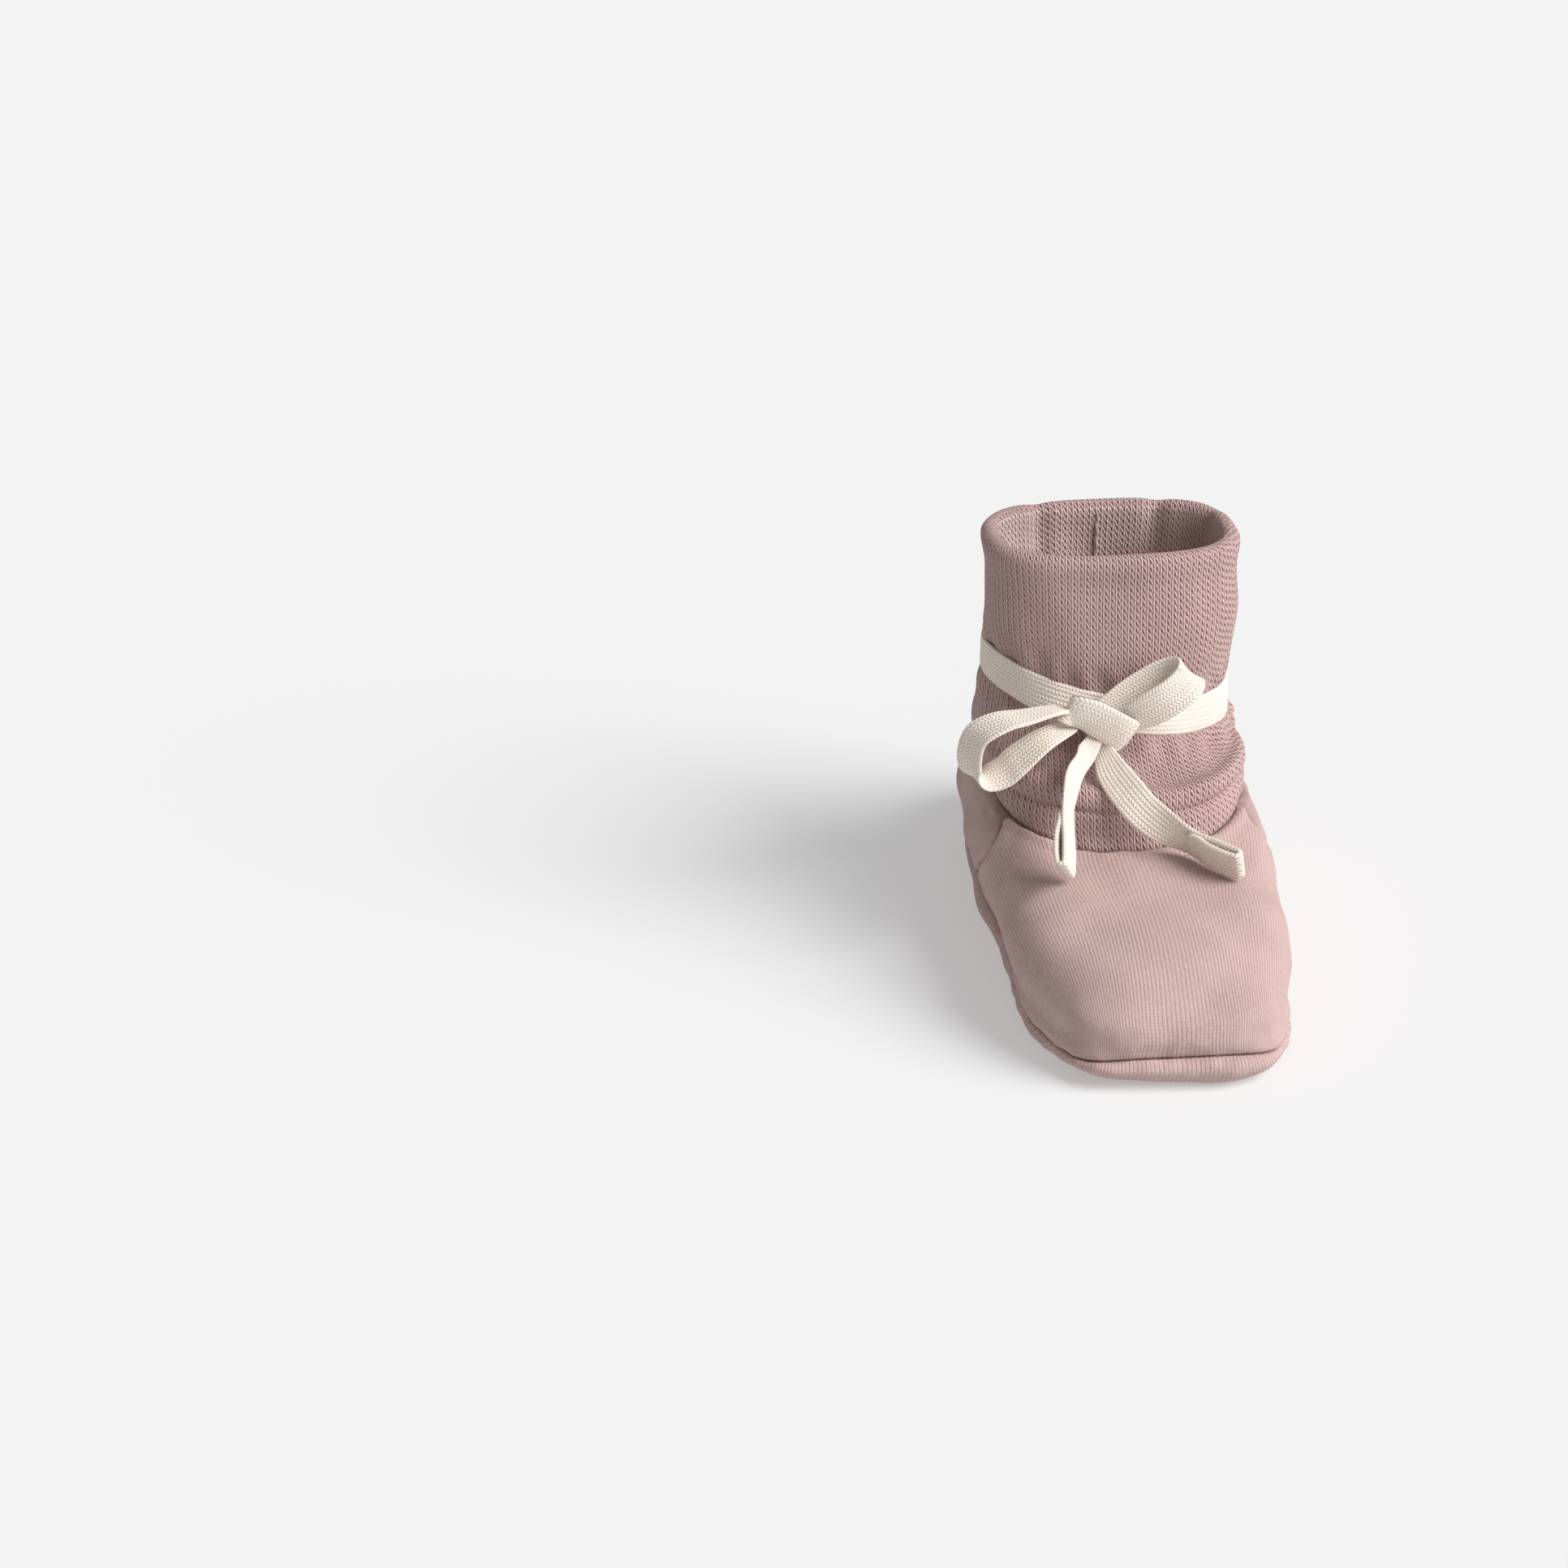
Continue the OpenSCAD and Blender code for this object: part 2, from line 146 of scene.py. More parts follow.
def waves(seed, size):
    """Soft noise about 0 with features of that size, the same on every run."""
    count = 28
    rng = np.random.default_rng(seed)
    ways = unit(rng.normal(size=(count, 3))) * rng.uniform(0.6, 1.5, (count, 1))
    ways *= 2 * math.pi / size
    phases = rng.uniform(0, 2 * math.pi, count)
    return lambda p: np.sin(p @ ways.T + phases).sum(-1) * math.sqrt(2 / count)


# ---- Seams, folds and softness of the cloth ---------------------------------------------------

broad_waves, mid_waves, pucker_waves = waves(11, 26), waves(12, 11), waves(13, 4.6)
U_SIDE = [90, 62]       # the side seams slant forward, from the sole up to the cuff
TOE_CORNER = 47         # degrees from the toe to the corner on either side of it

# Heights in mm of what the cloth does over the smooth skin
DENTS, SMALL_DENTS = 0.38, 0.1
SOLE_PUCKER, CUFF_PUCKER = 0.16, 0.12
SIDE_BULGE, RIM_BULGE = 0.8, 0.45
CREASE_ROLL, CREASE_DEPTH = 1.5, 1.1
TIE_SQUEEZE, GATHERS = 0.35, 0.28


def round_toe(u):
    """Degrees from the toe, 0 to 180, on either side."""
    return np.abs((u + 180) % 360 - 180)


def sole_seam_t(u):
    """The sole seam dips round the two corners of the toe, and lies low along the sides."""
    side = round_toe(u)
    dip = (0.25 + 0.6 * bump(side - TOE_CORNER, 17)) * smooth(88, 62, side)
    return T_SOLE - dip - 0.5 * smooth(58, 84, side) * smooth(172, 140, side)


def side_seam_u(t):
    return U_SIDE[0] + (U_SIDE[1] - U_SIDE[0]) * (t - T_SOLE) / (T_CUFF - T_SOLE)


def crease_t(u):
    """Fold across the lower cuff, where the knit sags over its seam."""
    return 8.62 + 0.36 * np.maximum(np.cos(np.radians(u)), 0) ** 3


def groove(d):
    """Height across a seam: a narrow valley between two soft rolls."""
    return -1.0 * np.exp(-np.abs(d) / 0.5) + 0.3 * bump(np.abs(d) - 2.2, 1.6)


def relief(t, u, p, per_t, per_u):
    """Height of the cloth over the smooth skin."""
    side = round_toe(u)
    to_sole = (t - sole_seam_t(u)) * per_t
    to_cuff = (t - T_CUFF) * per_t
    to_side = (side - side_seam_u(t)) * per_u * 0.8
    to_tie = (t - T_TIE) * per_t
    to_crease = (t - crease_t(u)) * per_t
    below_rim = (T_RIM - t) * per_t
    height = DENTS * broad_waves(p) + SMALL_DENTS * mid_waves(p)
    height *= smooth(T_RIM + 0.5, 11.5, t) * 0.6 + 0.4
    height += groove(to_sole) + groove(to_cuff)
    above_sole, below_cuff = smooth(T_SOLE - 0.1, T_SOLE + 0.1, t), smooth(T_CUFF + 0.1, T_CUFF - 0.1, t)
    height += groove(to_side) * above_sole * below_cuff
    height += SOLE_PUCKER * pucker_waves(p) * np.exp(-np.abs(to_sole) / 3) * smooth(80, 50, side)
    height += SIDE_BULGE * bump(t - 5.2, 0.9) * smooth(45, 70, side) * smooth(178, 140, side)
    height += CUFF_PUCKER * pucker_waves(p) * np.exp(-np.abs(to_cuff) / 2.5)
    fold = 0.1 + 0.9 * smooth(86, 46, side)
    roll, valley = bump(to_crease - 3.6, 2.6), np.exp(-np.abs(to_crease) / 0.8)
    height += fold * (CREASE_ROLL * roll - CREASE_DEPTH * valley)
    height -= TIE_SQUEEZE * bump(to_tie, 4.0)
    height += RIM_BULGE * bump(below_rim - 1.8, 2.2)
    gathers = np.sin(np.radians(u) * 21 + 1.7 * broad_waves(p)) + 0.5 * mid_waves(p)
    height += GATHERS * gathers * bump(np.abs(to_tie) - 5.0, 3.2)
    return height


def cloth(t, u, depth, share=1.0):
    """Points of the cloth at a depth below its face, and the outward direction there."""
    p, out, per_t, per_u = skin_frame(t, u)
    lift = share * relief(t, u, p, per_t, per_u) - depth
    q = p + out * np.asarray(lift)[..., None]
    q[..., 2] = np.maximum(q[..., 2], np.minimum(depth, 1.0) * np.ones_like(lift))
    return q, out


# ---- Meshes -----------------------------------------------------------------------------------

def build(name, points, faces, weave, material, body, slot, replaced):
    """A mesh piece in metres. weave holds one pair of cloth coordinates, in mm, per face corner."""
    mesh = bpy.data.meshes.new(name + "_fabric")
    corners = np.array(faces, np.int32)
    if volume(points, corners) < 0:
        corners, weave = corners[:, ::-1], weave[:, ::-1]
    mesh.vertices.add(len(points))
    mesh.vertices.foreach_set("co", (points * MM).astype(np.float32).ravel())
    mesh.loops.add(corners.size)
    mesh.loops.foreach_set("vertex_index", np.ascontiguousarray(corners).ravel())
    mesh.polygons.add(len(corners))
    mesh.polygons.foreach_set("loop_start", np.arange(0, corners.size, 4, dtype=np.int32))
    mesh.polygons.foreach_set("use_smooth", np.ones(len(corners), bool))
    layer = mesh.uv_layers.new(name="weave")
    mesh.update(calc_edges=True)
    layer.data.foreach_set("uv", np.ascontiguousarray(weave, np.float32).ravel())
    mesh.validate()
    mesh.materials.append(material)
    piece = bpy.data.objects.new(name + "_fabric", mesh)
    bpy.context.scene.collection.objects.link(piece)
    if body:
        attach(piece, body)
    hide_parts(*replaced)
    return piece


def volume(points, corners):
    """A measure of the closed mesh's volume, negative where its faces turn inwards."""
    a, b, c, d = (points[corners[:, k]] for k in range(4))
    return np.einsum("ij,ij->i", a, np.cross(b, c) + np.cross(c, d)).sum()


def shell(points, weave, ring):
    """Quads round closed loops of points, points[row, column], one column after another. A ring
    joins its last column to its first; otherwise both ends are capped across the thickness.
    weave has a pair per point, and one column more on a ring."""
    rows, columns = points.shape[:2]
    count = columns if ring else columns - 1
    i, j = np.meshgrid(np.arange(rows), np.arange(count), indexing="ij")
    up, next_j = (i + 1) % rows, (j + 1) % columns
    faces = np.stack([i * columns + j, i * columns + next_j,
                      up * columns + next_j, up * columns + j], -1).reshape(-1, 4)
    w = np.stack([weave[i, j], weave[i, j + 1], weave[up, j + 1], weave[up, j]], -2)
    w = w.reshape(-1, 4, 2)
    if not ring:
        k = np.arange(rows // 2 - 1)
        for j_end, order in ((0, 1), (columns - 1, -1)):
            quad = np.stack([k, k + 1, rows - 2 - k, rows - 1 - k], -1)[:, ::order]
            faces = np.vstack([faces, quad * columns + j_end])
            w = np.concatenate([w, weave[quad, j_end]])
    return points.reshape(-1, 3), faces, w


def both_sides(t, u, depth0, depth1, share):
    """Face rows going up, then back rows coming down, of a sheet of cloth."""
    face, out = cloth(t, u, depth0, share)
    back, _ = cloth(t, u, depth1, share)
    return np.concatenate([face, back[::-1]]), out


def doubled(weave):
    """Cloth coordinates of the face rows going up, then of the back rows coming down."""
    return np.concatenate([weave, weave[::-1]])


# ---- Materials --------------------------------------------------------------------------------

class Wire:
    """An output socket of a node, with arithmetic that adds Math nodes."""

    def __init__(self, socket):
        self.socket = socket
        self.tree = socket.id_data

    def math(self, kind, *others):
        node = self.tree.nodes.new("ShaderNodeMath")
        node.operation = kind
        for slot, value in zip(node.inputs, (self, *others)):
            if isinstance(value, Wire):
                self.tree.links.new(value.socket, slot)
            else:
                slot.default_value = value
        return Wire(node.outputs[0])

    def __add__(self, other):
        return self.math("ADD", other)

    def __sub__(self, other):
        return self.math("SUBTRACT", other)

    def __mul__(self, other):
        return self.math("MULTIPLY", other)

    def from_(self, other):
        """The other value minus this one."""
        return (self * -1) + other

    def frac(self):
        return self.math("FRACT")

    def most(self, other):
        return self.math("MAXIMUM", other)

    def wave(self):
        return (self * (2 * math.pi)).math("SINE")

    def ridge(self, centre, half):
        """1 on the centre line, falling in a round hump to 0 at half a width away."""
        away = (self - centre) * (1 / half)
        return (away * away).from_(1).most(0)

    def smooth(self, low, high):
        node = self.tree.nodes.new("ShaderNodeMapRange")
        node.interpolation_type = "SMOOTHSTEP"
        node.inputs["From Min"].default_value = low
        node.inputs["From Max"].default_value = high
        self.tree.links.new(self.socket, node.inputs["Value"])
        return Wire(node.outputs["Result"])


def mixed(tree, factor, first, second):
    """A colour that goes from the first to the second as the factor goes from 0 to 1."""
    node = tree.nodes.new("ShaderNodeMix")
    node.data_type = "RGBA"
    sockets = [s for s in node.inputs if s.type == "RGBA"]
    tree.links.new(factor.socket, node.inputs[0])
    for socket, value in zip(sockets, (first, second)):
        if isinstance(value, tuple):
            socket.default_value = (*value, 1)
        else:
            tree.links.new(value, socket)
    return [s for s in node.outputs if s.type == "RGBA"][0]


def cloud(tree, weave, size, detail=2.0, stretch=1.0):
    """Noise over the cloth, with features of that size in mm."""
    scale = tree.nodes.new("ShaderNodeVectorMath")
    scale.operation = "MULTIPLY"
    scale.inputs[1].default_value = (1 / size, 1 / size / stretch, 1)
    tree.links.new(weave, scale.inputs[0])
    noise = tree.nodes.new("ShaderNodeTexNoise")
    noise.inputs["Scale"].default_value = 1
    noise.inputs["Detail"].default_value = detail
    tree.links.new(scale.outputs[0], noise.inputs["Vector"])
    return Wire(noise.outputs[0])


# Widths and heights in mm of one stitch of rib, one stitch of jersey and one float of the tape
RIB_COLUMN, RIB_ROW = 1.0, 1.18
WALE, COURSE = 0.72, 0.62
LANE, PICK = 0.75, 0.62
PATCHES, FUZZ = 0.3, 0.12       # how much wide patches and fine fuzz count in a cloth's tone


def rib_knit(x, y, noise):
    """Upright chains with a slanting stroke between them, and two holes beside each stroke."""
    a = (x * (1 / RIB_COLUMN) + noise * 0.16).frac()
    b = (y * (1 / RIB_ROW) + noise * 0.22).frac()
    upright = a.ridge(0.2, 0.24) * (b.wave() * 0.12 + 0.88)
    stroke = (a + b * 0.5).ridge(1.0, 0.26) * 0.9
    bridge = (b + a * 0.5 + 0.3).frac().ridge(0.5, 0.4) * 0.5
    return upright.most(stroke).most(bridge)


def jersey_knit(x, y, noise):
    """Small chains side by side, with dots in the grooves between them."""
    a = (x * (1 / WALE) + noise * 0.2).frac()
    b = (y * (1 / COURSE) + noise * 0.3)
    middle = (a - 0.5).math("ABSOLUTE")
    legs = (b + middle * 1.4).frac().ridge(0.5, 0.56)
    groove_line = middle.smooth(0.5, 0.24)
    dots = b.frac().ridge(0.5, 0.4) * 0.5 + 0.5
    return (legs * 0.34 + 0.66) * groove_line.most(dots * 0.66)


def herringbone(x, y, noise):
    """Lengthwise lanes of short slanting floats that lean the other way in every other lane."""
    lanes = x * (1 / LANE) + noise * 0.05
    side = lanes.math("FLOORED_MODULO", 2.0).math("FLOOR") * 2 - 1
    across = lanes.frac()
    dash = (y * (1 / PICK) + across * side * 0.75 + noise * 0.3).frac().ridge(0.5, 0.46)
    return (dash * 0.7 + 0.3) * across.ridge(0.5, 0.72)


def twisted(x, y, noise):
    """Two plies that wind round each other."""
    return (y * 1.1 + x * 0.6 + noise * 0.2).frac().ridge(0.5, 0.5)


def fabric(name, pattern, shades, bump_mm, roughness, sheen, hollow_shading=0.5, melange=0.25):
    """Matt cloth: shades are its dark and light colours, and pattern its height from 0 to 1. The low
    parts of the pattern take the dark colour, as painted shade in the stitch hollows.
    """
    material = bpy.data.materials.new(name)
    material.use_nodes = True
    tree = material.node_tree
    shader = tree.nodes["Principled BSDF"]
    uv = tree.nodes.new("ShaderNodeUVMap")
    uv.uv_map = "weave"
    split = tree.nodes.new("ShaderNodeSeparateXYZ")
    tree.links.new(uv.outputs[0], split.inputs[0])
    x, y = Wire(split.outputs[0]), Wire(split.outputs[1])
    wander = cloud(tree, uv.outputs[0], 6.0) - 0.5
    fuzz = cloud(tree, uv.outputs[0], 0.16, 3.0)
    fibres = cloud(tree, uv.outputs[0], 0.55, 3.0, stretch=2.0)
    patches = cloud(tree, uv.outputs[0], 9.0, 3.0)
    height = pattern(x, y, wander)
    # Painted shade: the pattern's low parts take the dark colour; fibres, patches and fuzz add the
    # yarn's own random tone
    shade_and_tone = height * hollow_shading + fibres * melange + patches * PATCHES + fuzz * FUZZ
    middle = 0.5 * (hollow_shading * 0.9 + melange + PATCHES + FUZZ)
    factor = (shade_and_tone - middle).smooth(-0.36, 0.36)
    tree.links.new(mixed(tree, factor, *shades), shader.inputs["Base Color"])
    relief_node = tree.nodes.new("ShaderNodeBump")
    relief_node.inputs["Strength"].default_value = 1
    relief_node.inputs["Distance"].default_value = bump_mm * MM
    tree.links.new((height + fuzz * 0.35 + fibres * 0.25).socket, relief_node.inputs["Height"])
    tree.links.new(relief_node.outputs[0], shader.inputs["Normal"])
    rough = height * -0.08 + fibres * 0.06 + roughness
    tree.links.new(rough.socket, shader.inputs["Roughness"])
    shader.inputs["Sheen Weight"].default_value = sheen
    shader.inputs["Sheen Roughness"].default_value = 0.45
    shader.inputs["Sheen Tint"].default_value = (1.0, 0.93, 0.9, 1)
    shader.inputs["Specular IOR Level"].default_value = 0.2
    return material


jersey = fabric("jersey", jersey_knit, ((0.35, 0.228, 0.212), (0.585, 0.42, 0.395)),
                0.11, 0.92, 0.12, hollow_shading=0.34, melange=0.42)
lining = fabric("lining", jersey_knit, ((0.40, 0.27, 0.255), (0.65, 0.475, 0.45)),
                0.11, 0.92, 0.12, hollow_shading=0.34, melange=0.42)
# A lighter copy of the rib knit for the inside of the cuff: painted light on the inner wall, which is
# the same yarn as the outside
rib_painted_light = fabric("rib_painted_light", rib_knit, ((0.25, 0.15, 0.14), (0.80, 0.60, 0.57)),
                    0.3, 0.92, 0.12, hollow_shading=0.7, melange=0.3)
rib = fabric("rib", rib_knit, ((0.16, 0.09, 0.085), (0.60, 0.41, 0.39)),
             0.3, 0.92, 0.12, hollow_shading=0.8, melange=0.3)
tape = fabric("tape", herringbone, ((0.62, 0.50, 0.40), (0.95, 0.88, 0.80)),
              0.14, 0.88, 0.08, hollow_shading=0.42, melange=0.22)
thread = fabric("thread", twisted, ((0.22, 0.135, 0.13), (0.45, 0.31, 0.295)),
                0.1, 0.85, 0.1)
tape_thread = fabric("tape_thread", twisted, ((0.62, 0.53, 0.42), (0.95, 0.90, 0.82)),
                     0.08, 0.7, 0.08)

# ---- Foot -------------------------------------------------------------------------------------

PANEL_GAP = 0.14        # from the middle of a seam to the edge of a panel
LINING_EDGE = 0.5       # the same for a lining
LINING_SHARE = 0.5      # how much of the outer cloth's relief a lining follows
MIDDLE_RINGS = 24       # rows of a sole between its middle and the first outline


def t_rows(low, high, count):
    """Rows between two edges, closer together beside each seam."""
    f = np.linspace(0, 1, count)
    f = f - 0.6 * np.sin(2 * math.pi * f) / (2 * math.pi)
    return low[None, :] + (high - low)[None, :] * f[:, None]


def t_beside(t, u, distance):
    """The t that lies a distance in mm above another."""
    _, _, per_t, _ = skin_frame(t, u)
    return t + distance / per_t


def foot_weave(p, out):
    """Cloth coordinates laid flat: wales run lengthwise, and both count the drop of the sides."""
    flat = out[..., :2] / np.maximum(np.linalg.norm(out[..., :2], axis=-1, keepdims=True), 0.2)
    return p[..., :2] + 0.75 * (24 - p[..., 2:3]) * flat


def upper_half(middle, edge_mm, columns, rows, depth0, depth1, share=1.0):
    """Half of the upper, from its slanting edge on one side to that on the other."""
    across = np.linspace(-1, 1, columns)
    turn = np.array([abs(middle - U_SIDE[0]), abs(middle - U_SIDE[1])]) - edge_mm * 1.6

    def u_at(t):
        f = (t - T_SOLE) / (T_CUFF - T_SOLE)
        return middle + across * (turn[0] + (turn[1] - turn[0]) * f)

    u_low = u_at(np.full(columns, float(T_SOLE)))
    u_high = u_at(np.full(columns, float(T_CUFF)))
    low = t_beside(sole_seam_t(u_low), u_low, edge_mm)
    high = t_beside(np.full(columns, float(T_CUFF)), u_high, -edge_mm)
    t = t_rows(low, high, rows)
    u = u_at(t)
    points, out = both_sides(t, u, depth0, depth1, share)
    return points, t, u, out


def heel_weave(t, u, p):
    """Wales run upright on the heel."""
    ring = np.linspace(-180, 180, 721)
    _, _, _, per_u = skin_frame(np.full(ring.shape, 6.0), ring + 180)
    arc = np.concatenate([[0], np.cumsum(per_u[1:] * (ring[1] - ring[0]))])
    return np.stack([np.interp(u - 180, ring, arc), p[..., 2] * 1.08], -1)


def make_vamp(name, columns, rows, depth0, depth1, material, slot, edge=PANEL_GAP, share=1.0):
    points, _, _, out = upper_half(0, edge, columns, rows, depth0, depth1, share)
    weave = doubled(foot_weave(points[:rows], out))
    return build(name, *shell(points, weave, False), material, "foot", slot, [name])


def make_heel(name, columns, rows, depth0, depth1, material, slot, edge=PANEL_GAP, share=1.0):
    points, t, u, _ = upper_half(180, edge, columns, rows, depth0, depth1, share)
    weave = doubled(heel_weave(t, u, points[:rows]))
    return build(name, *shell(points, weave, False), material, "foot", slot, [name])


def tray(name, columns, rows, depth0, depth1, edge, material, slot, t_end=None):
    """The sole or insole: rings that shrink onto its middle, then climb its sides."""
    u = np.linspace(-180, 180, columns, endpoint=False)
    top = t_beside(sole_seam_t(u), u, -edge) if t_end is None else np.full(columns, t_end)
    t = t_rows(np.zeros(columns), top, rows)
    u = np.broadcast_to(u, t.shape)
    sides = []
    for depth in (depth0, depth1):
        climbing, out = cloth(t, u, depth)
        shrink = np.linspace(0.04, 1, MIDDLE_RINGS, endpoint=False)[:, None, None]
        inner = climbing[:1] * np.array([1, 1, 0]) * shrink
        inner[..., 2] = climbing[0, :, 2].mean() + 0.12 * mid_waves(inner) ** 2
        sides.append(np.concatenate([inner, climbing]))
    points = np.concatenate([sides[0], sides[1][::-1]])
    flat = np.concatenate([np.zeros((MIDDLE_RINGS, columns, 3)), out])
    side = flat[..., :2] / np.maximum(np.linalg.norm(flat[..., :2], axis=-1, keepdims=True), 0.2)
    weave = sides[0][..., :2] + 1.1 * sides[0][..., 2:3] * side
    weave = doubled(np.concatenate([weave, weave[:, :1]], axis=1))
    return build(name, *capped_shell(points, weave), material, "foot", slot, [name])


def capped_shell(points, weave):
    """A ring shell whose first and last rows are tiny rings, each closed with quads."""
    rows, columns = points.shape[:2]
    flat, faces, w = shell(points, weave, True)
    keep = faces[:, 0] // columns != rows - 1
    faces, w = faces[keep], w[keep]
    for row, order in ((0, 1), (rows - 1, -1)):
        k = np.arange(columns // 2 - 1)
        quad = np.stack([k, k + 1, columns - 2 - k, columns - 1 - k], -1)[:, ::order]
        faces = np.vstack([faces, quad + row * columns])
        w = np.concatenate([w, weave[row, quad]])
    return flat, faces, w


lining_depth = PANEL + GAP
tray("sole_panel", 420, 96, 0, PANEL, PANEL_GAP, jersey, "jersey")
insole = tray("insole", 200, 40, lining_depth, lining_depth + INSOLE, 0, lining, "lining", 3.4)
make_vamp("vamp_panel", 330, 120, 0, PANEL, jersey, "jersey")
make_heel("heel_panel", 300, 90, 0, PANEL, jersey, "jersey")
make_vamp("vamp_lining", 140, 40, lining_depth, lining_depth + LINING, lining, "lining",
          LINING_EDGE, LINING_SHARE)
make_heel("heel_lining", 140, 40, lining_depth, lining_depth + LINING, lining, "lining",
          LINING_EDGE, LINING_SHARE)

# ---- Cuff -------------------------------------------------------------------------------------

CUFF_COLUMNS = 115      # knitted columns round the cuff
INNER_SHARE = 0.35      # how much of the outer face's relief the inside of the cuff follows


def make_cuff():
    """The doubled knit: up its outer face, over the rim and down its inner face."""
    columns, outer_rows, rim_rows, inner_rows = 460, 150, 12, 36
    u = np.linspace(-180, 180, columns, endpoint=False)
    low = t_beside(np.full(columns, float(T_CUFF)), u, PANEL_GAP)
    rim_r = CUFF / 2
    high = t_beside(np.full(columns, T_RIM - 0.001), u, -rim_r)
    t_out = low + (high - low) * np.linspace(0, 1, outer_rows)[:, None]
    u_out = np.broadcast_to(u, t_out.shape)
    outer, _ = cloth(t_out, u_out, 0)
    t_in = low + (high - low) * np.linspace(1, 0, inner_rows)[:, None]
    u_in = np.broadcast_to(u, t_in.shape)
    inner, _ = cloth(t_in, u_in, CUFF, INNER_SHARE)
    inner += inner_creases(t_in, u_in)
    inner -= inner_rim_bulge(t_in, u_in)
    middle = (outer[-1] + inner[0]) / 2
    half = (outer[-1] - inner[0]) / 2
    up = unit(outer[-1] - outer[-2]) * np.linalg.norm(half, axis=-1, keepdims=True)
    turn = np.linspace(0, math.pi, rim_rows + 2)[1:-1, None, None]
    rim = middle + np.cos(turn) * half + np.sin(turn) * up
    points = np.concatenate([outer, rim, inner])
    steps = np.linalg.norm(np.diff(points, axis=0), axis=-1)
    climb = np.concatenate([np.zeros((1, columns)), np.cumsum(steps, axis=0)])
    climb = np.concatenate([climb, climb[:, :1]], axis=1)
    girth = skin(np.full(columns + 1, T_TIE + 0.7), np.linspace(-180, 180, columns + 1))
    turned = np.concatenate([[0], np.cumsum(np.linalg.norm(np.diff(girth, axis=0), axis=1))])
    turned *= CUFF_COLUMNS * RIB_COLUMN / turned[-1]
    weave = np.stack([np.broadcast_to(turned, climb.shape), climb], -1)
    piece = build("cuff", *shell(points, weave, True), rib, None, "rib",
                  ["cuff_lower", "cuff_bend", "cuff_upper"])
    # The inner rows wear the lighter copy of the rib: painted light inside the mouth
    piece.data.materials.append(rib_painted_light)
    inside = np.repeat(np.arange(len(points)) >= outer_rows + rim_rows - 2, columns)
    piece.data.polygons.foreach_set("material_index", inside.astype(np.int32))
    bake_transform(piece)
    return piece


def inner_rim_bulge(t, u):
    """The swelling of the rolled rim, just below it and into the mouth."""
    _, out, _, _ = skin_frame(t, u)
    return out * RIM_BULGE * bump((12.85 - t) / 0.12, 1)[..., None]


def inner_creases(t, u):
    """Soft upright folds that the doubled knit takes inside the mouth."""
    _, out, _, _ = skin_frame(t, u)
    side = round_toe(u)
    depth = 0.9 * bump(side - 152, 5) + 0.7 * bump(side - 118, 7)
    depth *= smooth(9.0, 11.5, t)
    return out * depth[..., None]


make_cuff()

# ---- Threads ----------------------------------------------------------------------------------

def tube(path, radius, reference, around=10, twist=0.0, closed=False):
    """Points and weave of a cord of two twisted plies along a path."""
    ahead, behind = np.roll(path, -1, 0), np.roll(path, 1, 0)
    if not closed:
        ahead[-1], behind[0] = path[-1], path[0]
    run = unit(ahead - behind)
    e1 = unit(np.cross(run, reference))
    e2 = np.cross(e1, run)
    turn = np.linspace(0, 2 * math.pi, around, endpoint=False)[:, None]
    step = np.linalg.norm(path - behind, axis=-1)
    length = np.cumsum(step)
    ply = 1 + 0.22 * np.cos(2 * (turn - twist * length[None, :])) * (twist != 0)
    r = np.broadcast_to(radius, len(path))[None, :] * ply
    points = path[None] + r[..., None] * (np.cos(turn)[..., None] * e1 + np.sin(turn)[..., None] * e2)
    x = np.broadcast_to(turn, r.shape)
    y = np.broadcast_to(length, r.shape)
    weave = np.stack([x, y], -1)
    if closed:
        weave = np.concatenate([weave, weave[:, -1:] + [0, 0.5]], axis=1)
    return shell(points, weave, closed)


def joined(parts):
    """Several meshes as one."""
    points, faces, weave, start = [], [], [], 0
    for part_points, part_faces, part_weave in parts:
        points.append(part_points)
        faces.append(part_faces + start)
        weave.append(part_weave)
        start += len(part_points)
    return np.concatenate(points), np.concatenate(faces), np.concatenate(weave)


# Radius and depth of a seam thread in mm, and its twist in radians per mm
SEAM_R, SEAM_TWIST, SEAM_DEPTH = 0.3, 1.9, 0.45


def seam_path(t, u):
    return cloth(t, u, SEAM_DEPTH)[0]


def make_ring_seam(name, t_of_u):
    u = np.linspace(-180, 180, 900, endpoint=False)
    path = seam_path(t_of_u(u), u)
    mesh = tube(path, SEAM_R, np.array([0.0, 0.0, 1.0]), twist=SEAM_TWIST, closed=True)
    build(name, *mesh, thread, "foot", "thread", [name])


def make_side_seam(name, side):
    t = np.linspace(T_SOLE + 0.12, T_CUFF - 0.08, 160)
    mesh = tube(seam_path(t, side * side_seam_u(t)), SEAM_R, np.array([1.0, 0.0, 0.0]),
                twist=SEAM_TWIST)
    build(name, *mesh, thread, "foot", "thread", [name])


make_ring_seam("sole_seam", sole_seam_t)
make_ring_seam("cuff_seam", lambda u: np.full(u.shape, float(T_CUFF)))
make_side_seam("side_seam_left", -1)
make_side_seam("side_seam_right", 1)


def make_back_seam():
    """The upright joining seam inside the back of the cuff."""
    t = np.linspace(12.05, 12.9, 90)
    u = np.full(t.shape, 180.0)
    path = cloth(t, u, CUFF + 0.15, INNER_SHARE)[0]
    mesh = tube(path, SEAM_R, np.array([1.0, 0.0, 0.0]), around=14, twist=1.2)
    build("cuff_back_seam", *mesh, lining, "cuff", "thread", ["cuff_back_seam"])


make_back_seam()

# ---- Tape -------------------------------------------------------------------------------------

ACROSS = 40             # steps across a tape, five to each woven lane
LANES = 8
BAND_LIFT = 0.25        # between the knit and the tape round it


